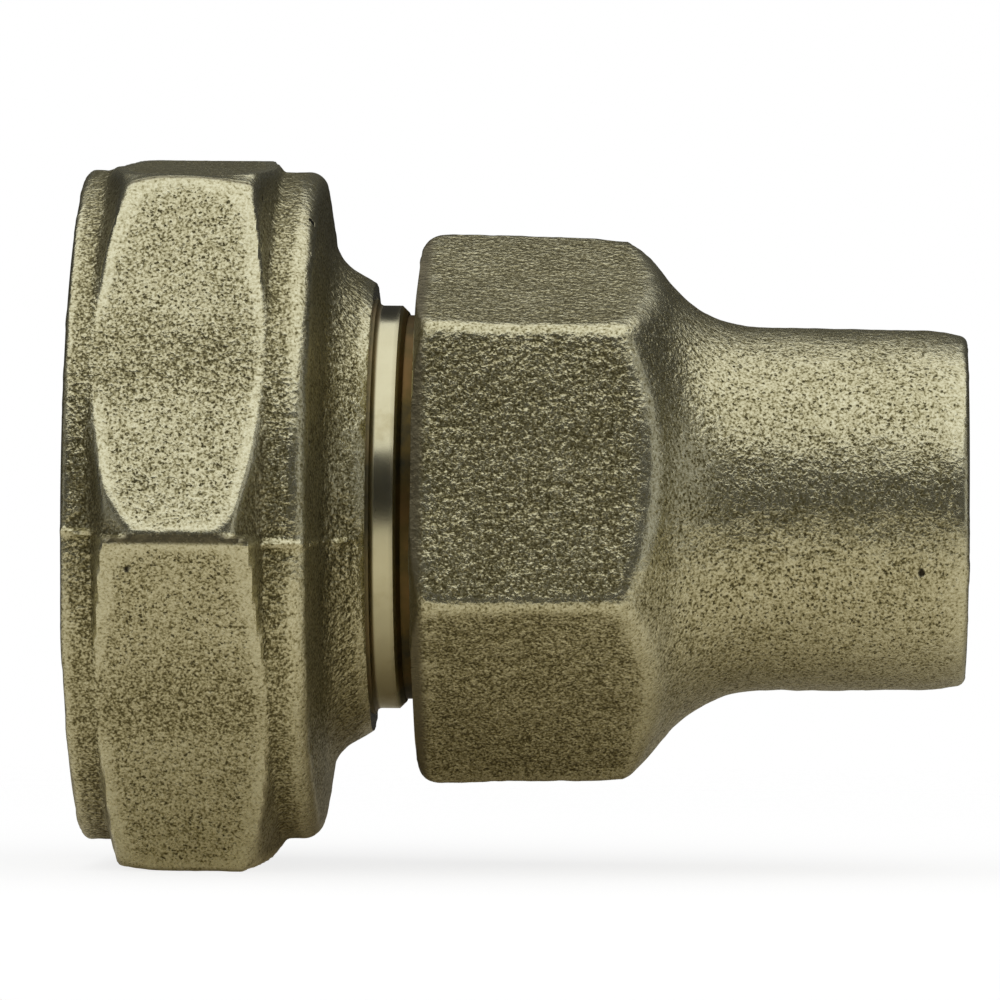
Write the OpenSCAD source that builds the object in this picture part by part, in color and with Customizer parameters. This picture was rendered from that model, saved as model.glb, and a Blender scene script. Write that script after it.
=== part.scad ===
// Pipe union with a flare end.
//
// A cast union nut swivels on a turned tailpiece and pulls a rubber washer against the
// tailpiece's sealing face. A cast flare nut screws onto the tailpiece's other end and
// clamps a flared tube on its 45 degree cone.
//
// The whole union lies along X. The origin is the centre of the sealing face, +X runs
// towards the flare nut's tail, and +Z is up. Places along the axis are measured from
// the sealing face. Threads are plain cylinders: a female one at its minor diameter
// where a stranger's part screws in, and the flare pair at its pitch diameter.

/* [Tube and waterway] */
// Bore of the flare nut's tail, a slip fit on 28.58 mm tube
tube_bore_d = 28.8; // [28.7:0.05:29.4]
// Straight bore through the tailpiece
waterway_d = 25; // [20:0.5:25.5]

/* [Union nut] */
// Across the flats of the wrench boss
nut_flats = 71.2; // [71.2:0.1:74]
// Diameter of the round rim and collar
nut_round_d = 71; // [69:0.1:71]
// Diameter of the hub at its machined corner
nut_hub_d = 47.4; // [46:0.1:48]
// Open mouth, ahead of the sealing face
nut_mouth = 14.4; // [13:0.1:18]
// Hub end, behind the sealing face
nut_back = 16; // [15.5:0.1:16.5]
// Minor diameter of the union thread
union_minor_d = 56.66; // [56.5:0.02:57.4]
// Diameter of the thread relief and collar pocket
nut_pocket_d = 59.9; // [59.5:0.1:60.5]

/* [Tailpiece] */
// Diameter of the collar that keeps the union nut on
collar_d = 55.8; // [52:0.1:56.2]
// Thickness of that collar
collar_t = 4.5; // [3.5:0.1:4.6]
// Diameter of the neck that the union nut's hub turns on
neck_d = 43.8; // [43:0.1:44.4]
// Diameter of the bright ring in front of the neck
ring_d = 42.6; // [42.2:0.1:42.9]
// End of the ring, past its chamfer
ring_end = 19.5; // [18.5:0.1:19.8]
// Pitch diameter of the flare thread
flare_pitch_d = 39.9; // [39.5:0.1:40.1]
// End of the thread, where the cone starts
thread_end = 38; // [36:0.5:38.5]
// Length of the 45 degree cone
cone_l = 5.4; // [4:0.1:5.5]

/* [Flare nut] */
// Across the flats of its hexagon
flare_flats = 50.8; // [50:0.1:52]
// Its face, next to the neck
flare_face = 20.8; // [20:0.1:21.5]
// Its tail end
flare_end = 78.4; // [70:0.1:90]
// Diameter of the tail where the taper runs out
tail_d = 38.2; // [37:0.1:38.4]
// Diameter of the tail at its end
tail_end_d = 37.4; // [36.4:0.1:37.8]

/* [Seal washer] */
// Thickness
washer_t = 3; // [2:0.1:3.4]
// Diameter of its hole
washer_hole_d = 27; // [26:0.1:30]
// Diameter of the rim that the thread holds in
washer_rim_d = 57.8; // [57.6:0.1:58.4]

/* [Hidden] */
$fn = 96;

eps = 0.01;
running_gap = 0.05;        // radial clearance of the swivel and of the flare thread
washer_gap = 0.1;          // from the sealing face to the washer
arc_steps = 8;

// Turn of each hexagon about the axis
nut_turn = 36;
flare_turn = 50.4;

// Union nut
nut_corner_d = 81.8;       // turned size over the boss's corners
mouth_round = 0.8;         // rounding of the rim at the mouth
collar_draft = 0.35;       // radius lost from the rim to the collar
boss_front = -11.7;        // where the boss's front cone leaves the rim
boss_rear = 6;             // where its rear cone meets the collar
front_cone = 63;           // steepness of the front cone
rear_cone = 69;            // steepness of the rear cone
thread_stop = -4;          // inner end of the union thread
pocket_back = 6.5;         // shoulder that the collar pulls on
lead_in_d = 60.2;          // mouth of the thread's lead-in chamfer
shoulder_x = 10.75;        // steep wall between the collar and the hub
shoulder_r = 2.2;          // its rounded edge
wall_lean = 10;            // its lean from a square shoulder
hub_fillet_x = 16.25;      // centre of the fillet at the hub's root
hub_fillet_d = 58.2;
hub_fillet_r = 4.7;
hub_lean = 33;             // slope of the hub

// Tailpiece
land_d = 40.6;             // plain land between the ring and the first thread
land_end = flare_face + 0.4;
cone_root_d = 38;
ring_start = 16.9;         // where the fillet from the neck runs out
ring_chamfer = 0.9;        // chamfer that ends the ring
break_edge = 0.4;          // small chamfer on turned edges

// Flare nut
hex_edge_r = 3.2;          // rounding of the hexagon's front corners
hex_corner_d = 58.5;       // size over the hexagon's rounded corners
taper_angle = 53;          // slope of the taper behind the hexagon
taper_r = 13;              // concave radius that runs it out into the tail
taper_end = 57;
relief_d = 42.4;           // thread relief ahead of the tube seat
relief_start = 37;
relief_l = 1.3;
rim_r = 1.3;               // rounding of the tail's rim

// Seal washer
washer_land_d = 55;        // front land, inside the thread
washer_land_t = 1.1;

function arc(x, r, radius, from, to) = [
    for (i = [0:arc_steps])
        let (a = from + (to - from) * i / arc_steps)
            [r + radius * sin(a), x + radius * cos(a)]
];

// Turns a profile of [radius, place along the axis] about X
module turned(points) {
    rotate([0, 90, 0]) rotate_extrude() polygon(points);
}

// Hexagonal bar along X, from one place to another
module hex_bar(flats, turn, from, to) {
    translate([from, 0, 0]) rotate([0, 90, 0]) rotate([0, 0, turn])
        cylinder(d = flats / cos(30), h = to - from, $fn = 6);
}

module union_nut_outside() {
    rim_r = nut_round_d / 2;
    collar_top = rim_r - collar_draft;
    corner_r = nut_corner_d / 2;
    sunk_r = rim_r - 1;    // the boss's cones start inside the round body
    turned(concat(
        [[0, -nut_mouth]],
        arc(mouth_round - nut_mouth, rim_r - mouth_round, mouth_round, 180, 90),
        arc(shoulder_x - shoulder_r, collar_top - shoulder_r, shoulder_r, 90, wall_lean),
        arc(hub_fillet_x, hub_fillet_d / 2, hub_fillet_r, 180 + wall_lean, 270 - hub_lean),
        [[nut_hub_d / 2, nut_back], [0, nut_back]]
    ));
    intersection() {
        hex_bar(nut_flats, nut_turn, boss_front, boss_rear);
        turned([
            [0, boss_front], [sunk_r, boss_front - (rim_r - sunk_r) / tan(front_cone)],
            [corner_r, boss_front + (corner_r - rim_r) / tan(front_cone)],
            [corner_r, boss_rear - (corner_r - rim_r) / tan(rear_cone)],
            [sunk_r, boss_rear + (rim_r - sunk_r) / tan(rear_cone)], [0, boss_rear]
        ]);
    }
}

module union_nut() {
    thread_r = union_minor_d / 2;
    lead_in = (lead_in_d - union_minor_d) / 2;
    pocket_r = nut_pocket_d / 2;
    bore_r = neck_d / 2 + running_gap;
    color("darkkhaki") difference() {
        union_nut_outside();
        turned([
            [0, -nut_mouth - eps], [lead_in_d / 2 + eps, -nut_mouth - eps],
            [thread_r, -nut_mouth + lead_in], [thread_r, thread_stop],
            [pocket_r, thread_stop + pocket_r - thread_r],
            [pocket_r, pocket_back - 1], [pocket_r - 1, pocket_back],
            [bore_r + break_edge, pocket_back], [bore_r, pocket_back + break_edge],
            [bore_r, nut_back + eps], [0, nut_back + eps]
        ]);
    }
}

module tailpiece() {
    collar_r = collar_d / 2;
    neck_r = neck_d / 2;
    ring_r = ring_d / 2;
    fillet_r = neck_r - ring_r;
    land_r = land_d / 2;
    thread_r = flare_pitch_d / 2;
    cone_r = cone_root_d / 2;
    waterway_r = waterway_d / 2;
    color("khaki") turned(concat(
        [
            [waterway_r, 0], [collar_r - break_edge, 0], [collar_r, break_edge],
            [collar_r, collar_t - break_edge], [collar_r - break_edge, collar_t],
            [neck_r, collar_t]
        ],
        arc(ring_start, ring_r + fillet_r, fillet_r, 180, 270),
        [
            [ring_r, ring_end - ring_chamfer], [ring_r - ring_chamfer, ring_end],
            [land_r, ring_end], [land_r, land_end], [thread_r, land_end],
            [thread_r, thread_end - 1], [cone_r, thread_end],
            [cone_r - cone_l, thread_end + cone_l], [waterway_r, thread_end + cone_l]
        ]
    ));
}

module flare_nut_outside() {
    corner_r = hex_corner_d / 2;
    tail_r = tail_d / 2;
    core_r = flare_flats / 2 - 0.4;
    taper_top_r = tail_r + taper_r * (1 - cos(taper_angle));
    taper_top_x = taper_end - taper_r * sin(taper_angle);
    intersection() {
        union() {
            hex_bar(flare_flats, flare_turn, flare_face, taper_top_x);
            turned([
                [0, flare_face], [core_r, flare_face], [core_r, flare_end], [0, flare_end]
            ]);
        }
        turned(concat(
            [[0, flare_face]],
            arc(flare_face + hex_edge_r, corner_r - hex_edge_r, hex_edge_r, 180, 90),
            [[corner_r, taper_top_x - (corner_r - taper_top_r) / tan(taper_angle)]],
            arc(taper_end, tail_r + taper_r, taper_r, 270 - taper_angle, 270),
            arc(flare_end - rim_r, tail_end_d / 2 - rim_r, rim_r, 90, 0),
            [[0, flare_end]]
        ));
    }
}

module flare_nut() {
    thread_r = flare_pitch_d / 2 + running_gap;
    relief_r = relief_d / 2;
    seat_start = relief_start + relief_l;
    bore_r = tube_bore_d / 2;
    color("darkkhaki") difference() {
        flare_nut_outside();
        turned([
            [0, flare_face - eps], [thread_r + 1 + eps, flare_face - eps],
            [thread_r, flare_face + 1], [thread_r, relief_start],
            [relief_r, relief_start], [relief_r, seat_start],
            [bore_r, seat_start + relief_r - bore_r],
            [bore_r, flare_end - break_edge], [bore_r + break_edge + eps, flare_end + eps],
            [0, flare_end + eps]
        ]);
    }
}

module seal_washer() {
    hole_r = washer_hole_d / 2;
    land_r = washer_land_d / 2;
    rim_edge_r = washer_rim_d / 2;
    front = -washer_gap - washer_t;
    step = front + washer_land_t;
    color("dimgray") turned([
        [hole_r, front], [land_r, front], [land_r, step], [rim_edge_r, step],
        [rim_edge_r, -washer_gap], [hole_r, -washer_gap]
    ]);
}

tailpiece();
union_nut();
seal_washer();
flare_nut();
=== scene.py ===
"""Looks of the pipe union: meshes, materials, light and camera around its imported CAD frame.

The union lies along X. Outlines are written in millimetres as (place along X, radius), walked
outside from the mouth to the back and then home through the bore, and turned into one closed
skin per piece. The castings get their hexagons, parting ridge and sand-cast surface on top.
"""

import math

import bpy
import numpy as np
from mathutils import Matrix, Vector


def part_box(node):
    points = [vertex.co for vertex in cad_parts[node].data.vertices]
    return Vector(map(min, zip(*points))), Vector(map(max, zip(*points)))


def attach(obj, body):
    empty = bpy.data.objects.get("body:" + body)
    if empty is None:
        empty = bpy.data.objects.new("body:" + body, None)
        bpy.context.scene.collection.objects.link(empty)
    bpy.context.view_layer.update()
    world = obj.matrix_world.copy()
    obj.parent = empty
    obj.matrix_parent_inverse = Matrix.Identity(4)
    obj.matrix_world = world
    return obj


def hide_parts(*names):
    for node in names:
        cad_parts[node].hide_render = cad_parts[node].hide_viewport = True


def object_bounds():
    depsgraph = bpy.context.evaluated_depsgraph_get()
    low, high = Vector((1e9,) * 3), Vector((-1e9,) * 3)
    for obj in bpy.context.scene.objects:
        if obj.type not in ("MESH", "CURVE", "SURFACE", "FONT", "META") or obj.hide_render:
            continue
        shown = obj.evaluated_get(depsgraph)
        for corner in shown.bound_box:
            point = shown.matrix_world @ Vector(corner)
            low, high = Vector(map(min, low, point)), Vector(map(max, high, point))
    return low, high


MM = 0.001
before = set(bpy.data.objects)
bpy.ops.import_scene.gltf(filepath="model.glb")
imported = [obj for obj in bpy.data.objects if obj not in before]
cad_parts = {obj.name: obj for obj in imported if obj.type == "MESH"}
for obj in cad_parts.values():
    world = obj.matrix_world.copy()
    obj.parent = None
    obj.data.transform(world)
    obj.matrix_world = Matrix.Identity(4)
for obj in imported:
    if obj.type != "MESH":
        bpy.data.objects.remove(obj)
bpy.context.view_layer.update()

# Places and radii that the frame gives, in millimetres
nut_low, nut_high = (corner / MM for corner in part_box("union_nut"))
flare_low, flare_high = (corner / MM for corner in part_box("flare_nut"))
_, body_high = (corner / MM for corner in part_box("tailpiece"))
washer_low, washer_high = (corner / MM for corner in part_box("seal_washer"))
MOUTH, HUB_END = nut_low.x, nut_high.x
FLARE_FACE, TAIL_END = flare_low.x, flare_high.x
NOSE = body_high.x
COLLAR_R = body_high.y
WATERWAY_R, THREAD_R, TUBE_R = 12.5, 28.33, 14.4

# Shape of the union nut. Its boss has six flats between two cones that start at CONE_ROOT_R.
# NUT_FLAT_EXTRA is how much further out than NUT_FLAT_R each flat is, and NUT_CORNER_TRIM how
# much each corner loses.
RIM_R, COLLAR_TOP_R = 35.5, 35.15
HUB_CORNER_R = 23.7
NUT_FLAT_R = 35.6
NUT_CORNER_DEG = -4.7
NUT_FLAT_EXTRA = (0.0, 0.3, 0.0, 0.2, 0.85, 0.0)
NUT_CORNER_TRIM = (0.41, 0.2, 0.2, 0.41, 0.3, 0.15)
CORNER_SHIFT_DEG = 1.33    # turn of a corner for each millimetre between its two flats
CONE_ROOT_R = 35.4
BOSS_FRONT, BOSS_REAR = -11.1, 6.1
UNION_PITCH, UNION_DEPTH = 2.309, 1.4
THREAD_STOP, POCKET_R, POCKET_BACK = -4.0, 29.95, 6.5
SHOULDER_X = 9.0    # ahead of it, the cast surface can belong to the boss
SEAM_HEIGHT = 0.6

# Shape of the tailpiece and the flare nut
NECK_R, RING_R, LAND_R = 21.9, 21.3, 20.3
RING_START, RING_END = 16.9, 19.5
COLLAR_END, LAND_END, THREAD_END = 4.5, 20.9, 38.0
FLARE_FLAT_R = 25.68
FLARE_CORNER_DEG = -20.4
FLARE_CORNER_R, FLARE_EDGE_R = 29.8, 3.2
FLARE_PITCH, FLARE_ROOT_R, FLARE_DEPTH = 2.1, 19.3, 1.25
FLARE_GAP = 0.14
TAIL_R = 19.1
TAPER_R, TAPER_END, TAPER_DEG = 13.0, 57.0, 53.0

# Chamfer on turned edges, and radial clearance of the union nut on the neck
BREAK_EDGE = 0.4
RUNNING_GAP = 0.05

# Mesh columns round each piece, and how strongly a casting's crowd at its corners
NUT_COLUMNS, FLARE_COLUMNS = 414, 348
TAILPIECE_COLUMNS, WASHER_COLUMNS = 360, 256
CROWDING = 0.45
FLOOR_R = 0.36


# ---------------------------------------------------------------- shape tools
def smooth_min(a, b, k):
    """The smaller of a and b, with the corner between them rounded over k."""
    near = np.clip(k - np.abs(a - b), 0, None) / k
    return np.minimum(a, b) - near * near * k / 4


def smooth_max(a, b, k):
    """The larger of a and b, with the corner between them rounded over k."""
    return -smooth_min(-a, -b, k)


def blend(a, b, share):
    """From a, where share is 0, to b, where it is 1."""
    return a + (b - a) * share


def smooth_step(low, high, value):
    """0 at low, 1 at high, and an eased rise between them. low can be the larger of the two."""
    t = np.clip((value - low) / (high - low), 0, 1)
    return t * t * (3 - 2 * t)


def value_noise(points, seed):
    """Smooth random values from -1 to 1, about one bump per unit of length."""
    cell = np.floor(points).astype(np.int64)
    part = points - cell
    ease = part * part * (3 - 2 * part)
    total = np.zeros(points.shape[:-1])
    for corner in np.ndindex(2, 2, 2):
        key = (cell + corner) @ np.array([73856093, 19349663, 83492791]) + seed * 7919
        key = (key & 0xFFFFFFFF) * 2654435761 & 0xFFFFFFFF
        key = (key ^ key >> 15) * 2246822519 & 0xFFFFFFFF
        weight = np.prod(np.where(corner, ease, 1 - ease), axis=-1)
        total += weight * ((key ^ key >> 13) / 2**31 - 1)
    return total


def arc(x, r, radius, start, stop, steps=10):
    """Points on a circle about (x, r), by the angle from +X in degrees."""
    angles = np.radians(np.linspace(start, stop, steps + 1))
    return [(x + radius * math.cos(a), r + radius * math.sin(a)) for a in angles]


def stations(stretches):
    """Walks a closed outline of (kind, step, points) stretches. Gives each station's place,
    radius, kind and distance walked."""
    rows, kinds = [], []
    for i, (kind, step, points) in enumerate(stretches):
        path = [*points, stretches[(i + 1) % len(stretches)][2][0]]
        for (x0, r0), (x1, r1) in zip(path, path[1:]):
            length = math.hypot(x1 - x0, r1 - r0)
            if length < 1e-6:
                continue
            count = max(1, math.ceil(length / step))
            for k in range(count):
                rows.append((x0 + (x1 - x0) * k / count, r0 + (r1 - r0) * k / count))
                kinds.append(kind)
    rows = np.array(rows)
    hop = np.hypot(*(np.diff(rows, axis=0, prepend=rows[:1]).T))
    return rows[:, 0], rows[:, 1], np.array(kinds), np.cumsum(hop)


def hexagon(turn, flat_r, corner_deg, corner_round, extra=(0, 0, 0, 0, 0, 0)):
    """Radius of a hexagonal bar at each angle, with one corner at corner_deg. extra gives how
    much further out each flat is, counted from that corner."""
    radius = np.full_like(turn, 1e3)
    for i in range(6):
        facing = np.cos(turn - math.radians(corner_deg + 30 + 60 * i))
        face = (flat_r + extra[i]) / np.maximum(facing, 0.2)
        radius = smooth_min(radius, face, corner_round)
    return radius


def corner_planes(turn, flat_r, corner_deg, trims, extra):
    """Radius of the narrow planes that trim a hexagonal bar's six corners."""
    radius = np.full_like(turn, 1e3)
    for i in range(6):
        mean = (extra[i] + extra[i - 1]) / 2
        shift = (extra[i] - extra[i - 1]) * CORNER_SHIFT_DEG
        facing = np.cos(turn - math.radians(corner_deg + 60 * i + shift))
        distance = (flat_r + mean) / math.cos(math.radians(30)) - trims[i]
        radius = np.minimum(radius, distance / np.maximum(facing, 0.2))
    return radius


def thread_wave(x, turn, pitch):
    """Height of a right-handed thread with rounded crests and roots, from 0 to 1."""
    return 0.5 - 0.5 * np.cos(2 * math.pi * x / pitch + turn)


def around(columns):
    """Angles round the axis, from the viewer's side (-Y) towards +Z."""
    return np.linspace(0, 2 * math.pi, columns, endpoint=False)[None, :]


def around_hexagon(columns, corner_deg):
    """Angles round the axis that crowd at a hexagon's corners."""
    even = around(columns)
    return math.radians(corner_deg) + even - CROWDING / 6 * np.sin(6 * even)


def place(x, radius, turn):
    """Points from place along X, radius and angle."""
    x, radius, turn = np.broadcast_arrays(x, radius, turn)
    return np.stack([x, -radius * np.cos(turn), radius * np.sin(turn)], axis=-1)


def normals(points):
    """Outward unit normals of a grid that closes both ways."""
    along = np.roll(points, -1, 0) - np.roll(points, 1, 0)
    round_ = np.roll(points, -1, 1) - np.roll(points, 1, 1)
    n = np.cross(along, round_)
    return n / np.maximum(np.linalg.norm(n, axis=-1, keepdims=True), 1e-9)


def convexity(points, passes, reach=0.32):
    """How far each point stands proud of its blurred surroundings, in millimetres. reach is the
    distance that one pass blurs over, where the grid is no coarser than that."""
    soft = points
    for axis in (0, 1) * passes:
        ahead, behind = np.roll(soft, -1, axis), np.roll(soft, 1, axis)
        hop = np.linalg.norm(ahead - behind, axis=-1, keepdims=True) / 2
        share = np.minimum(1, (reach / np.maximum(hop, 1e-6)) ** 2) / 4
        soft = soft + share * (ahead + behind - 2 * soft)
    return ((points - soft) * normals(points)).sum(-1)


def skin(name, points, material_of_row, materials, values, sharp_deg=38):
    """One closed mesh from a grid of points in millimetres, with a material per row and named
    values for the materials to read. Edges over sharp_deg are shaded sharp."""
    rows, columns = points.shape[:2]
    index = np.arange(rows * columns).reshape(rows, columns)
    right, up = np.roll(index, -1, 1), np.roll(index, -1, 0)
    corner = np.roll(right, -1, 0)
    faces = np.stack([index, up, corner, right], axis=-1).reshape(-1, 4)
    mesh = bpy.data.meshes.new(name)
    mesh.from_pydata((points.reshape(-1, 3) * MM).tolist(), [], faces.tolist())
    for material in materials:
        mesh.materials.append(material)
    material_of_face = np.repeat(material_of_row, columns).astype(np.int32)
    mesh.polygons.foreach_set("material_index", material_of_face)
    mesh.polygons.foreach_set("use_smooth", np.ones(len(faces), bool))
    for key, value in values.items():
        layer = mesh.attributes.new(key, "FLOAT", "POINT")
        grid = np.broadcast_to(value, (rows, columns))
        layer.data.foreach_set("value", grid.astype(np.float32).ravel())
    mesh.set_sharp_from_angle(angle=math.radians(sharp_deg))
    mesh.update()
    obj = bpy.data.objects.new(name, mesh)
    bpy.context.scene.collection.objects.link(obj)
    return obj


def cast_surface(points, is_cast, seed):
    """Moves a casting's skin along its normals: slow waves, lumps and sand grain."""
    n = normals(points)
    wave = 0.16 * value_noise(points / 11, seed) + 0.10 * value_noise(points / 5, seed + 1)
    lump = 0.05 * value_noise(points / 1.9, seed + 2)
    grain = 0.035 * value_noise(points / 0.8, seed + 3)
    move = (wave + lump + grain) * is_cast[:, None]
    return points + n * move[..., None]


def wear_values(points, is_cast, seed, far_passes):
    """Bright rubbed edges and dull hollows of a casting, each from 0 to 1. far_passes sets how
    wide the weaker rub beside the edges is."""
    near, far = convexity(points, 22), convexity(points, far_passes)
    ragged = 0.035 * value_noise(points / 1.3, seed + 4) + 0.03 * value_noise(points / 4, seed + 5)
    edge = smooth_step(0.02, 0.16, near + ragged)
    margin = 0.75 * smooth_step(0.16, 0.42, far + 2 * ragged)
    wear = np.maximum(edge, margin) * is_cast[:, None]
    hollow = smooth_step(0.02, 0.22, -near + ragged) * is_cast[:, None]
    return wear, hollow


# ---------------------------------------------------------------- materials
def node_tree(name):
    """A new material, its nodes, its link function and its Principled BSDF."""
    material = bpy.data.materials.new(name)
    material.use_nodes = True
    nodes = material.node_tree.nodes
    return material, nodes, material.node_tree.links.new, nodes["Principled BSDF"]


def ramp(nodes, stops):
    """Colour ramp with (place, grey or colour) stops."""
    node = nodes.new("ShaderNodeValToRGB")
    elements = node.color_ramp.elements
    while len(elements) < len(stops):
        elements.new(0.5)
    for element, (at, colour) in zip(elements, stops):
        element.position = at
        grey = isinstance(colour, (int, float))
        element.color = (colour, colour, colour, 1) if grey else (*colour, 1)
    return node


def noise(nodes, link, vector, scale, detail=2.0, roughness=0.5, distortion=0.0):
    """Noise from 0 to 1. scale is in bumps per unit of the vector."""
    node = nodes.new("ShaderNodeTexNoise")
    node.inputs["Scale"].default_value = scale
    node.inputs["Detail"].default_value = detail
    node.inputs["Roughness"].default_value = roughness
    node.inputs["Distortion"].default_value = distortion
    link(vector, node.inputs["Vector"])
    return node.outputs["Fac"]


def dots(nodes, link, vector, scale, inner, outer):
    """Scattered round dots: 0 inside each, rising to 1 from the inner to the outer radius, both
    as shares of the spacing."""
    node = nodes.new("ShaderNodeTexVoronoi")
    node.inputs["Scale"].default_value = scale
    link(vector, node.inputs["Vector"])
    rise = ramp(nodes, [(inner, 0.0), (outer, 1.0)])
    link(node.outputs["Distance"], rise.inputs["Fac"])
    return rise.outputs["Color"]


def warped(nodes, link, vector, scale, amount):
    """The vector, moved about at random over a distance of about a fifth of amount."""
    cloud = nodes.new("ShaderNodeTexNoise")
    cloud.inputs["Scale"].default_value = scale
    link(vector, cloud.inputs["Vector"])
    shift = nodes.new("ShaderNodeVectorMath")
    shift.operation = "MULTIPLY_ADD"
    link(cloud.outputs["Color"], shift.inputs[0])
    shift.inputs[1].default_value = (amount, amount, amount)
    link(vector, shift.inputs[2])
    return shift.outputs["Vector"]


def maths(nodes, link, operation, *values):
    """Result of an operation on values, each a socket or a number."""
    node = nodes.new("ShaderNodeMath")
    node.operation = operation
    for socket, value in zip(node.inputs, values):
        if isinstance(value, (int, float)):
            socket.default_value = value
        else:
            link(value, socket)
    return node.outputs[0]


def value_of(nodes, name):
    """One of the named values that skin() keeps in the mesh."""
    node = nodes.new("ShaderNodeAttribute")
    node.attribute_name = name
    return node.outputs["Fac"]


def mixed(nodes, link, factor, a, b):
    """Colour mix of a and b, each a socket or a colour."""
    node = nodes.new("ShaderNodeMix")
    node.data_type = "RGBA"
    link(factor, node.inputs[0])
    for socket, value in ((node.inputs[6], a), (node.inputs[7], b)):
        if isinstance(value, tuple):
            socket.default_value = (*value, 1)
        else:
            link(value, socket)
    return node.outputs[2]


def bump(nodes, link, height, distance, strength=1.0, normal=None):
    """Normal that a height of 0 to 1 bends, distance metres high. strength is a socket or a
    number, and normal is an earlier bump's."""
    node = nodes.new("ShaderNodeBump")
    node.inputs["Distance"].default_value = distance
    if isinstance(strength, float):
        node.inputs["Strength"].default_value = strength
    else:
        link(strength, node.inputs["Strength"])
    link(height, node.inputs["Height"])
    if normal is not None:
        link(normal, node.inputs["Normal"])
    return node.outputs["Normal"]


def cast_bronze():
    """Sand-cast bronze: a bright metal skin with grain, olive pinholes and a few blowholes. Rubbed
    edges are smoother and brighter, and the patches that nothing rubs are dull brown patina. The
    same dull brown is painted shade on the union nut's shoulder."""
    material, nodes, link, shader = node_tree("cast_bronze")
    spot = nodes.new("ShaderNodeTexCoord").outputs["Object"]
    wear, hollow = value_of(nodes, "wear"), value_of(nodes, "hollow")
    patina_and_shade, coarse = value_of(nodes, "patina_and_shade"), value_of(nodes, "coarse")
    grain = noise(nodes, link, spot, 3700, 1.5, 0.5, 0.2)
    clumps = noise(nodes, link, spot, 1500, 2.0, 0.5)
    patches = noise(nodes, link, spot, 210, 3.0, 0.6)

    # A few blowholes, and pinholes where the skin is neither rubbed nor coarse
    hole = dots(nodes, link, warped(nodes, link, spot, 900, 0.0012), 115, 0.033, 0.06)
    pinhole = dots(nodes, link, warped(nodes, link, spot, 2600, 0.0006), 1750, 0.1, 0.3)
    pitted = maths(nodes, link, "MULTIPLY", maths(nodes, link, "SUBTRACT", 1.0, wear),
                   maths(nodes, link, "MULTIPLY_ADD", coarse, -0.6, 1.0))
    pits = maths(nodes, link, "MULTIPLY", maths(nodes, link, "SUBTRACT", 1.0, pinhole), pitted)

    # How light each point of the skin is
    level = maths(nodes, link, "MULTIPLY_ADD", clumps, 0.4, -0.2)
    level = maths(nodes, link, "ADD", level, grain)
    level = maths(nodes, link, "MULTIPLY_ADD", pits, -0.26, level)
    shade = maths(nodes, link, "MULTIPLY_ADD", patches, 0.16, -0.06)
    level = maths(nodes, link, "ADD", level, shade)
    level = maths(nodes, link, "MULTIPLY_ADD", wear, 0.14, level)
    level = maths(nodes, link, "MULTIPLY_ADD", hollow, -0.05, level)
    level = maths(nodes, link, "MULTIPLY_ADD", coarse, -0.08, level)
    colour = ramp(nodes, [
        (0.28, (0.12, 0.103, 0.045)),
        (0.42, (0.34, 0.305, 0.158)),
        (0.50, (0.53, 0.49, 0.30)),
        (0.60, (0.66, 0.62, 0.40)),
        (0.78, (0.80, 0.77, 0.54)),
    ])
    link(level, colour.inputs["Fac"])
    # Dull brown: patina on trimmed corners and cones, and painted shade on the union nut's shoulder
    skin_colour = mixed(nodes, link, patina_and_shade, colour.outputs["Color"], (0.20, 0.175, 0.105))
    skin_colour = mixed(nodes, link, hole, (0.03, 0.025, 0.015), skin_colour)
    link(skin_colour, shader.inputs["Base Color"])
    gloss = ramp(nodes, [(0.34, 0.45), (0.48, 0.29), (0.75, 0.25)])
    link(level, gloss.inputs["Fac"])
    roughness = maths(nodes, link, "MULTIPLY_ADD", patina_and_shade, 0.12, gloss.outputs["Color"])
    link(roughness, shader.inputs["Roughness"])
    shader.inputs["Metallic"].default_value = 0.92

    # Relief, of which rubbed patches, the dull brown patina and the painted shade have less
    calm = maths(nodes, link, "MAXIMUM", maths(nodes, link, "MULTIPLY", wear, 0.65),
                 maths(nodes, link, "MULTIPLY", patina_and_shade, 0.6))
    relief = maths(nodes, link, "SUBTRACT", 1.0, calm)
    lumpy = maths(nodes, link, "MULTIPLY_ADD", coarse, 0.5, 0.35)
    lumpy = maths(nodes, link, "MULTIPLY", relief, lumpy)
    sandy = maths(nodes, link, "MULTIPLY", relief, 0.46)
    rough = bump(nodes, link, clumps, 0.00036, lumpy)
    rough = bump(nodes, link, grain, 0.00014, sandy, rough)
    rough = bump(nodes, link, pinhole, 0.00012, pitted, rough)
    link(bump(nodes, link, hole, 0.0002, 1.0, rough), shader.inputs["Normal"])
    return material


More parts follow.
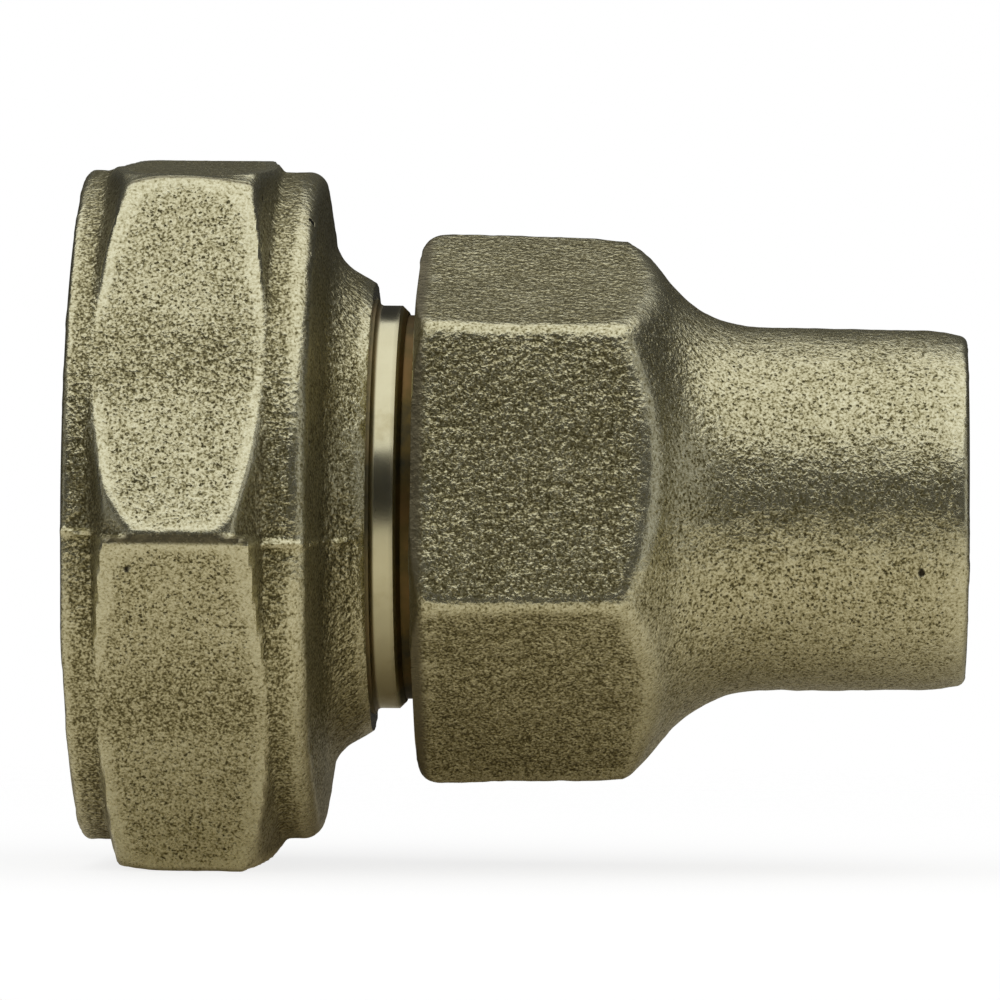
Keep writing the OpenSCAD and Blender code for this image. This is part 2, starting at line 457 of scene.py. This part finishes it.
def machined_brass():
    """Turned brass: lathe lines along the walked outline, faint stains, and dark brown painted shade
    in the groove beyond the ring and on the neck's end."""
    material, nodes, link, shader = node_tree("machined_brass")
    spot = nodes.new("ShaderNodeTexCoord").outputs["Object"]
    walked = nodes.new("ShaderNodeCombineXYZ")
    link(value_of(nodes, "walked"), walked.inputs[0])
    painted_shade = value_of(nodes, "painted_shade")
    lines = noise(nodes, link, walked.outputs[0], 9.0, 4.0, 0.7)
    stains = noise(nodes, link, spot, 190, 4.0, 0.6)
    colour = ramp(nodes, [
        (0.28, (0.54, 0.48, 0.28)),
        (0.45, (0.68, 0.635, 0.42)),
        (0.75, (0.73, 0.69, 0.47)),
    ])
    link(stains, colour.inputs["Fac"])
    # Dark brown painted shade, for the groove beyond the ring and the neck's end, which lie in
    # shadow
    shade_colour = ramp(nodes, [
        (0.35, (0.07, 0.065, 0.04)),
        (0.50, (0.15, 0.11, 0.04)),
        (0.68, (0.21, 0.13, 0.05)),
    ])
    link(stains, shade_colour.inputs["Fac"])
    shaded_brass = mixed(nodes, link, painted_shade, colour.outputs["Color"], shade_colour.outputs["Color"])
    link(shaded_brass, shader.inputs["Base Color"])
    gloss = ramp(nodes, [(0.3, 0.24), (0.7, 0.16)])
    link(stains, gloss.inputs["Fac"])
    roughness = maths(nodes, link, "MULTIPLY_ADD", painted_shade, 0.3, gloss.outputs["Color"])
    link(roughness, shader.inputs["Roughness"])
    shader.inputs["Metallic"].default_value = 1.0
    link(bump(nodes, link, lines, 0.000012, 0.8), shader.inputs["Normal"])
    return material


def moulded_rubber():
    """Black moulded rubber with a dusty bloom."""
    material, nodes, link, shader = node_tree("moulded_rubber")
    spot = nodes.new("ShaderNodeTexCoord").outputs["Object"]
    bloom = noise(nodes, link, spot, 320, 4.0, 0.65)
    grain = noise(nodes, link, spot, 3600, 2.0, 0.5)
    colour = ramp(nodes, [(0.35, (0.012, 0.012, 0.013)), (0.75, (0.045, 0.043, 0.040))])
    link(bloom, colour.inputs["Fac"])
    link(colour.outputs["Color"], shader.inputs["Base Color"])
    gloss = ramp(nodes, [(0.3, 0.48), (0.7, 0.68)])
    link(bloom, gloss.inputs["Fac"])
    link(gloss.outputs["Color"], shader.inputs["Roughness"])
    link(bump(nodes, link, grain, 0.00003, 0.6), shader.inputs["Normal"])
    return material


def studio_floor():
    """Pale floor that fades into the surroundings, so it has no edge. The camera sees it nearly
    white with a faint shadow. The metal mirrors it as warm paper with a painted glow of bounce
    light underneath and painted shade behind the object."""
    material, nodes, link, _ = node_tree("studio_floor")
    nodes.clear()
    seen = nodes.new("ShaderNodeLightPath").outputs["Is Camera Ray"]
    spot = nodes.new("ShaderNodeTexCoord").outputs["Object"]
    across = nodes.new("ShaderNodeSeparateXYZ")
    link(spot, across.inputs[0])
    # Painted shade: the paper that the metal mirrors gets darker behind the object
    shaded_paper = ramp(nodes, [(0.30, (0.90, 0.86, 0.76)), (0.75, (0.38, 0.36, 0.31))])
    link(maths(nodes, link, "MULTIPLY_ADD", across.outputs["Y"], 20.0, 0.5), shaded_paper.inputs["Fac"])
    paper = nodes.new("ShaderNodeBsdfDiffuse")
    link(mixed(nodes, link, seen, shaded_paper.outputs["Color"], (0.30, 0.30, 0.30)), paper.inputs["Color"])
    glow = nodes.new("ShaderNodeEmission")
    # Painted light: a warm glow of bounce under the object, which only the metal sees
    bounce = ramp(nodes, [(0.02, (0.075, 0.06, 0.035)), (0.16, (0.0, 0.0, 0.0))])
    link(mixed(nodes, link, seen, bounce.outputs["Color"], (0.82, 0.82, 0.82)), glow.inputs["Color"])
    lit = nodes.new("ShaderNodeAddShader")
    link(paper.outputs[0], lit.inputs[0])
    link(glow.outputs[0], lit.inputs[1])
    length = nodes.new("ShaderNodeVectorMath")
    length.operation = "LENGTH"
    link(spot, length.inputs[0])
    fade = ramp(nodes, [(0.15, 0.0), (FLOOR_R * 0.9, 1.0)])
    for by_distance in (bounce, fade):
        link(length.outputs["Value"], by_distance.inputs["Fac"])
    edge = nodes.new("ShaderNodeMixShader")
    link(fade.outputs["Color"], edge.inputs[0])
    link(lit.outputs[0], edge.inputs[1])
    link(nodes.new("ShaderNodeBsdfTransparent").outputs[0], edge.inputs[2])
    link(edge.outputs[0], nodes.new("ShaderNodeOutputMaterial").inputs["Surface"])
    return material


# ---------------------------------------------------------------- pieces
def union_nut_boss(x, body, turn):
    """Radius of the round body with the wrench boss on it: six flats with trimmed corners,
    between a front and a rear cone. The mould's two halves, above and below the parting corners,
    differ a little: away is 0 at those corners and 1 midway between them, and upper is 1 in the
    upper half. The upper corner on the far side is rubbed rounder. Also gives how much of a
    trimmed corner, and of a cone, each point is."""
    from_parting = turn - math.radians(NUT_CORNER_DEG)
    away = np.abs(np.sin(from_parting))
    upper = smooth_step(-0.012, 0.012, np.sin(from_parting))
    rubbed = upper * smooth_step(0.2, -0.2, np.cos(from_parting))
    bar = hexagon(turn, NUT_FLAT_R, NUT_CORNER_DEG, 0.3, NUT_FLAT_EXTRA)
    planes = corner_planes(turn, NUT_FLAT_R, NUT_CORNER_DEG, NUT_CORNER_TRIM, NUT_FLAT_EXTRA)
    flats = smooth_min(bar, planes, 0.05)

    # Cones, each by where it starts and how steep it is in degrees
    wander = 0.15 * value_noise(place(x, 38, turn) / 4, 30)
    front_start = BOSS_FRONT - 0.4 * upper + wander
    rear_start = BOSS_REAR + (0.45 * (1 - upper) - 0.4 * rubbed) * away + wander
    front_lean = np.radians(blend(77, 63, upper))
    rear_lean = np.radians(blend(blend(79, 67, away), blend(60, 71, away), upper))
    front = CONE_ROOT_R + (x - front_start) * np.tan(front_lean)
    rear = CONE_ROOT_R + (rear_start - x) * np.tan(rear_lean)

    # Gentler crowns, which cut the cones' tops by the upper half's parting corners
    clear = (1.3 - 0.2 * rubbed) * away + 3 * (1 - upper)
    front_crown = 38.9 + clear + 0.7 * (x + 9.3)
    rear_crown = 39.6 + clear + 0.5 * (4.1 - x)
    crown_round = 0.2 + 0.8 * away
    front = smooth_min(front, front_crown, crown_round)
    rear = smooth_min(rear, rear_crown, crown_round)

    # The boss is what the flats and both cones leave. Its corners that are away from the
    # parting are rounder.
    rounding = (1.1 + 0.8 * rubbed) * away * smooth_step(39.0, 40.8, flats)
    radius = smooth_max(body, flats, 0.3)
    radius = smooth_min(radius, smooth_max(body, front, 1.6), 0.5 + rounding * np.tan(front_lean))
    radius = smooth_min(radius, smooth_max(body, rear, 1.6), 0.5 + rounding * np.tan(rear_lean))
    trimmed = smooth_step(0.0, 0.12, bar - planes)
    trimmed = trimmed * smooth_step(0.5 + rounding, 0.15 + rounding, flats - radius)
    cone = smooth_step(0.4 + rounding, 1.2 + rounding, flats - radius)
    cone = cone * smooth_step(0.1, 0.7, radius - body)
    return radius, trimmed, cone


def parting_ridge(x, radius, turn):
    """How much of the ragged seam, where the mould's halves met, is at each point. The seam is
    a line of grains that wanders, and drifts round the nut towards its hub."""
    spot = place(x, radius, turn)
    wander = 0.45 * value_noise(place(x, 30, 0 * turn) / 2.6, 40) + 0.055 * (x - MOUTH)
    width = 0.36 * (1 + 0.5 * value_noise(spot / 1.1, 41))
    ridge = 0.0
    for seam_deg in (NUT_CORNER_DEG + 0.5, NUT_CORNER_DEG + 180.5):
        gap = (turn - math.radians(seam_deg) + math.pi) % (2 * math.pi) - math.pi
        ridge = ridge + np.exp(-(((gap * radius + wander) / width) ** 2))
    return ridge * np.clip(0.8 + 1.1 * value_noise(spot / 0.9, 42), 0, 1.5)


def union_nut(cast, turned):
    """Cast nut with a wrench boss and a parting seam outside, and a thread and pocket inside."""
    bore_r = NECK_R + RUNNING_GAP
    mouth_round, shoulder_round, fillet_r = 0.8, 1.9, 4.75
    lead_in, lead_in_r, run_out = 1.8, 30.1, 1.6
    outline = [
        ("cast", 0.31, [
            *arc(MOUTH + mouth_round, RIM_R - mouth_round, mouth_round, 180, 90, 4),
            *arc(8.75, COLLAR_TOP_R - shoulder_round, shoulder_round, 90, 10),
            *arc(16.22, 29.13, fillet_r, 190, 237, 12),
            (HUB_END, HUB_CORNER_R),
        ]),
        ("turned", 0.5, [(HUB_END, HUB_CORNER_R - 0.12), (HUB_END, bore_r + BREAK_EDGE)]),
        ("turned", 1.2, [
            (HUB_END - BREAK_EDGE, bore_r), (POCKET_BACK + BREAK_EDGE, bore_r),
            (POCKET_BACK, bore_r + BREAK_EDGE), (POCKET_BACK, POCKET_R - 1),
            (POCKET_BACK - 1, POCKET_R), (THREAD_STOP + run_out, POCKET_R),
        ]),
        ("thread", UNION_PITCH / 12, [(THREAD_STOP, THREAD_R), (MOUTH + lead_in, THREAD_R)]),
        ("turned", 0.7, [(MOUTH, lead_in_r), (MOUTH, RIM_R - 1.0)]),
    ]
    x, r, kind, walked = stations(outline)
    turn = around_hexagon(NUT_COLUMNS, NUT_CORNER_DEG)
    x, r = x[:, None], r[:, None]
    thread = THREAD_R + UNION_DEPTH * (1 - thread_wave(x, turn, UNION_PITCH))
    radius = np.where((kind == "thread")[:, None], np.maximum(thread, r), r + 0 * turn)
    is_cast = (kind == "cast").astype(float)
    on_outside = is_cast[:, None] * (x < SHOULDER_X)
    raised, trimmed, cone = union_nut_boss(x, radius, turn)
    trimmed, cone = trimmed * on_outside, cone * on_outside
    radius = np.where(on_outside > 0, raised, radius)

    on_boss = smooth_step(0.3, 1.0, radius - r)
    seam = parting_ridge(x, radius, turn) * (1 - on_boss) * is_cast[:, None]
    seam = seam * smooth_step(HUB_END - 0.2, HUB_END - 2.5, x)
    points = place(x, radius + SEAM_HEIGHT * seam, turn)

    # Trimmed corners and cones get dull brown patina, and the shoulder painted shade in that brown.
    # The round body and the cones are coarse.
    wear, hollow = wear_values(points, is_cast, 11, 70)
    shoulder_shade = smooth_step(9.4, 10.6, x) * smooth_step(14.6, 12.2, x)
    patina_and_shade = np.maximum(0.9 * trimmed, np.maximum(0.35 * cone, 0.2 * shoulder_shade))
    patina_and_shade = patina_and_shade * is_cast[:, None] * (1 - np.clip(seam, 0, 1))
    wear = np.clip(wear * (1 - trimmed) + 0.9 * seam, 0, 1)
    coarse = 1 - smooth_step(0.05, 0.6, radius - RIM_R) * (1 - cone)
    points = cast_surface(points, is_cast, 11)
    return skin(
        "union_nut_skin", points, (kind != "cast").astype(int), [cast, turned],
        {"wear": wear, "hollow": hollow, "patina_and_shade": patina_and_shade, "coarse": coarse, "walked": walked[:, None]},
    )


def flare_nut(cast, turned):
    """Cast nut: a hexagon that runs through a hollow taper into a tail. Inside are a thread, a
    relief, the flared tube's seat and its bore."""
    slope = math.radians(TAPER_DEG)
    top_r = TAIL_R + TAPER_R * (1 - math.cos(slope))
    top_x = TAPER_END - TAPER_R * math.sin(slope)
    corner_end = top_x - (FLARE_CORNER_R - top_r) / math.tan(slope)
    thread_r = FLARE_ROOT_R + FLARE_GAP
    relief_x, relief_r, mouth_cut = 37.0, 21.2, 1.6
    seat_x = relief_x + 1.3
    outline = [
        ("cast", 0.42, [
            *arc(FLARE_FACE + FLARE_EDGE_R, FLARE_CORNER_R - FLARE_EDGE_R, FLARE_EDGE_R, 180, 90),
            (corner_end, FLARE_CORNER_R), (top_x, top_r),
            *arc(TAPER_END, TAIL_R + TAPER_R, TAPER_R, 270 - TAPER_DEG, 270, 24)[1:],
            (64, 19.04), (72, 18.95), (74.3, 18.88), (76, 18.73), (76.8, 18.58),
            *arc(TAIL_END - 0.95, 17.5, 0.95, 80, 10, 5),
        ]),
        ("turned", 0.5, [(TAIL_END, 17.3), (TAIL_END, TUBE_R + BREAK_EDGE)]),
        ("turned", 2.5, [
            (TAIL_END - BREAK_EDGE, TUBE_R), (seat_x + relief_r - TUBE_R, TUBE_R),
            (seat_x, relief_r), (relief_x, relief_r),
        ]),
        ("thread", FLARE_PITCH / 8, [
            (relief_x, thread_r + FLARE_DEPTH), (FLARE_FACE + mouth_cut, thread_r),
        ]),
        ("turned", 0.8, [
            (FLARE_FACE, thread_r + mouth_cut), (FLARE_FACE, FLARE_CORNER_R - FLARE_EDGE_R - 0.1),
        ]),
    ]
    x, r, kind, walked = stations(outline)
    turn = around_hexagon(FLARE_COLUMNS, FLARE_CORNER_DEG)
    x, r = x[:, None], r[:, None]
    is_thread = (kind == "thread")[:, None]
    wave = thread_r + FLARE_DEPTH * thread_wave(x, turn, FLARE_PITCH)
    mouth = thread_r + mouth_cut - (x - FLARE_FACE)
    radius = np.where(is_thread, np.maximum(wave, mouth), r + 0 * turn)

    draft = 0.43 * smooth_step(FLARE_FACE, top_x, x)
    bar = hexagon(turn, FLARE_FLAT_R, FLARE_CORNER_DEG, 1.0) - draft
    is_cast = (kind == "cast").astype(float)
    outer = (x < top_x + 2) & ~is_thread & (r > 24.0)
    # Corners get rounder towards the taper, and the one at the top most of all
    rubbed = smooth_step(27.5, 29.0, bar) * smooth_step(0.7, 0.9, np.sin(turn))
    rounding = 0.7 + (0.9 + rubbed) * smooth_step(corner_end - 5, corner_end, x)
    radius = np.where(outer, smooth_min(radius, bar, rounding), radius)

    points = place(x, radius, turn)
    wear, hollow = wear_values(points, is_cast, 71, 36)
    # The first millimetres of the front edge are dull brown, rougher and barely rubbed
    front = smooth_step(FLARE_FACE + 1.7, FLARE_FACE + 0.6, x) * is_cast[:, None]

    # Nicks are small bright patches along the front edge, which is dull beside them
    nicked = smooth_step(0.2, 0.45, value_noise(points / 1.5, 75)) * is_cast[:, None]
    nicked = nicked * smooth_step(FLARE_FACE + FLARE_EDGE_R, FLARE_FACE + 1.6, x)
    wear = np.maximum(0.85 * wear * (1 - front), 0.8 * nicked * (1 - 0.7 * front))
    coarse = smooth_step(corner_end + 3, corner_end - 1, x)
    points = cast_surface(points, is_cast, 71)
    return skin(
        "flare_nut_skin", points, (kind != "cast").astype(int), [cast, turned],
        {"wear": wear, "hollow": hollow, "patina_and_shade": front, "coarse": coarse,
         "walked": walked[:, None]},
    )


def tailpiece(turned):
    """Turned body: sealing face, collar, neck, bright ring, thread and cone, with a waterway."""
    ring_chamfer, tip_r, tip_round = 0.7, 13.6, 0.15
    outline = [
        ("turned", 0.5, [(0.0, WATERWAY_R + 0.3), (0.0, COLLAR_R - BREAK_EDGE)]),
        ("turned", 0.5, [
            (BREAK_EDGE, COLLAR_R), (COLLAR_END - BREAK_EDGE, COLLAR_R),
            (COLLAR_END, COLLAR_R - BREAK_EDGE), (COLLAR_END, NECK_R),
            *arc(RING_START, NECK_R, NECK_R - RING_R, 180, 270, 8),
            (RING_END - ring_chamfer, RING_R), (RING_END, RING_R - ring_chamfer),
            (RING_END, LAND_R), (LAND_END, LAND_R),
        ]),
        ("thread", FLARE_PITCH / 10, [(LAND_END + 0.1, FLARE_ROOT_R), (THREAD_END, FLARE_ROOT_R)]),
        ("turned", 0.4, [
            (THREAD_END + 0.4, 19.0), (NOSE - tip_round, tip_r + tip_round), (NOSE, tip_r),
            (NOSE, WATERWAY_R + 0.2), (NOSE - 0.2, WATERWAY_R),
        ]),
        ("turned", 1.2, [(NOSE - 1.0, WATERWAY_R), (0.3, WATERWAY_R)]),
    ]
    x, r, kind, walked = stations(outline)
    turn = around(TAILPIECE_COLUMNS)
    x, r = x[:, None], r[:, None]
    is_thread = (kind == "thread")[:, None]
    run_in = smooth_step(LAND_END, LAND_END + 1.5, x)
    run_out = 1 - smooth_step(THREAD_END - 1.8, THREAD_END - 0.1, x)
    wave = FLARE_ROOT_R + FLARE_DEPTH * thread_wave(x, turn, FLARE_PITCH) * run_in * run_out
    radius = np.where(is_thread, wave, r + 0 * turn)
    points = place(x, radius, turn)

    # Painted shade darkens the groove beyond the ring and, less of it, the neck's end by the hub
    painted_shade = smooth_step(RING_END - 0.75, RING_END - 0.6, x) * smooth_step(28, 23, x)
    painted_shade = np.maximum(painted_shade, smooth_step(RING_START, RING_START - 0.3, x) * (x > 15) * 0.85)
    outside = r > RING_R - 2.5
    return skin(
        "tailpiece_skin", points, np.zeros(len(kind), int), [turned],
        {"walked": walked[:, None], "painted_shade": painted_shade * outside}, 30,
    )


def seal_washer(rubber):
    """Stepped rubber washer with two grooves in its front face."""
    low, high = washer_low.x, washer_high.x
    rim_r, land_r, hole_r = washer_high.y, 27.5, 13.5
    step_x = low + 1.1
    groove = 0.22    # depth of the two sealing grooves in the front face
    outline = [
        ("face", 0.5, [
            *arc(low + 0.25, hole_r + 0.25, 0.25, 270, 180, 3),
            (low, 17.8), (low + groove, 18.1), (low + groove, 18.7), (low, 19.0),
            (low, 22.4), (low + groove, 22.7), (low + groove, 23.3), (low, 23.6),
            *arc(low + 0.3, land_r - 0.3, 0.3, 180, 90, 4),
            (step_x - 0.1, land_r), (step_x, land_r + 0.1),
            *arc(step_x + 0.25, rim_r - 0.25, 0.25, 180, 90, 3),
            *arc(high - 0.25, rim_r - 0.25, 0.25, 90, 0, 3),
            *arc(high - 0.25, hole_r + 0.25, 0.25, 0, -90, 3),
        ]),
    ]
    x, r, kind, walked = stations(outline)
    turn = around(WASHER_COLUMNS)
    points = place(x[:, None], r[:, None], turn)
    slack = 0.03 * value_noise(points / 6, 90)
    points = points + normals(points) * slack[..., None]
    return skin("seal_washer_skin", points, np.zeros(len(kind), int), [rubber],
                {"walked": walked[:, None]}, 45)


cast, turned, rubber = cast_bronze(), machined_brass(), moulded_rubber()
parts = [
    (union_nut(cast, turned), "union_nut", "union_nut", "cast_bronze"),
    (flare_nut(cast, turned), "flare_nut", "flare_nut", "cast_bronze"),
    (tailpiece(turned), "tailpiece", "tailpiece", "machined_brass"),
    (seal_washer(rubber), "washer", "seal_washer", "rubber"),
]
for piece, body, node, slot in parts:
    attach(piece, body)
    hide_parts(node)

# ---------------------------------------------------------------- stage, light and camera
low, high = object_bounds()
middle = (low + high) / 2

bpy.ops.mesh.primitive_circle_add(
    vertices=96, radius=FLOOR_R, fill_type="NGON", location=(middle.x, 0, low.z)
)
floor = bpy.context.object
floor.name = "studio_floor"
floor.data.materials.append(studio_floor())


def softbox(name, centre, aim, width, height, radiance):
    """Rectangular lamp of a given brightness per unit of its face, aimed at a point."""
    lamp = bpy.data.lights.new(name, "AREA")
    lamp.shape = "RECTANGLE"
    lamp.size, lamp.size_y = width, height
    lamp.energy = radiance * math.pi * width * height
    obj = bpy.data.objects.new(name, lamp)
    obj.location = centre
    direction = obj.location - Vector(aim)
    obj.rotation_euler = direction.to_track_quat("Z", "Y").to_euler()
    obj.visible_camera = False
    bpy.context.scene.collection.objects.link(obj)


FILL_SIZE = 0.9
softbox("overhead", (middle.x, -0.37, 1.0), (middle.x, -0.37, 0), 2.4, 2.48, radiance=0.93)
softbox("left_fill", (-1.2, -0.35, 0.3), (middle.x, 0, 0), FILL_SIZE, FILL_SIZE, radiance=0.16)
softbox("right_fill", (1.25, -0.35, 0.3), (middle.x, 0, 0), FILL_SIZE, FILL_SIZE, radiance=0.36)

# The camera sees a white backdrop, and everything else sees a dim room
world = bpy.data.worlds.new("studio")
bpy.context.scene.world = world
world.use_nodes = True
nodes, link = world.node_tree.nodes, world.node_tree.links.new
room = nodes["Background"]
room.inputs["Color"].default_value = (0.028, 0.028, 0.028, 1)
backdrop = nodes.new("ShaderNodeBackground")
backdrop.inputs["Color"].default_value = (1, 1, 1, 1)
choose = nodes.new("ShaderNodeMixShader")
link(nodes.new("ShaderNodeLightPath").outputs["Is Camera Ray"], choose.inputs[0])
link(room.outputs[0], choose.inputs[1])
link(backdrop.outputs[0], choose.inputs[2])
link(choose.outputs[0], nodes["World Output"].inputs["Surface"])

# The camera looks at a point on the object from a little to the right of straight on
CAMERA_DISTANCE = 0.846
YAW, ROLL = math.radians(1.9), math.radians(-0.4)
FRAME_WIDTH = 0.1058
SENSOR_MM = 36
centre = Vector((0.0292, 0, 0.0008))
camera_data = bpy.data.cameras.new("camera")
camera_data.sensor_width = SENSOR_MM
camera_data.lens = SENSOR_MM * CAMERA_DISTANCE / FRAME_WIDTH
camera_data.clip_start, camera_data.clip_end = 0.01, 20
camera = bpy.data.objects.new("camera", camera_data)
camera.location = centre + CAMERA_DISTANCE * Vector((math.sin(YAW), -math.cos(YAW), 0))
camera.rotation_euler = (math.pi / 2, ROLL, YAW)
bpy.context.scene.collection.objects.link(camera)
bpy.context.scene.camera = camera
bpy.context.scene.view_settings.view_transform = "Standard"
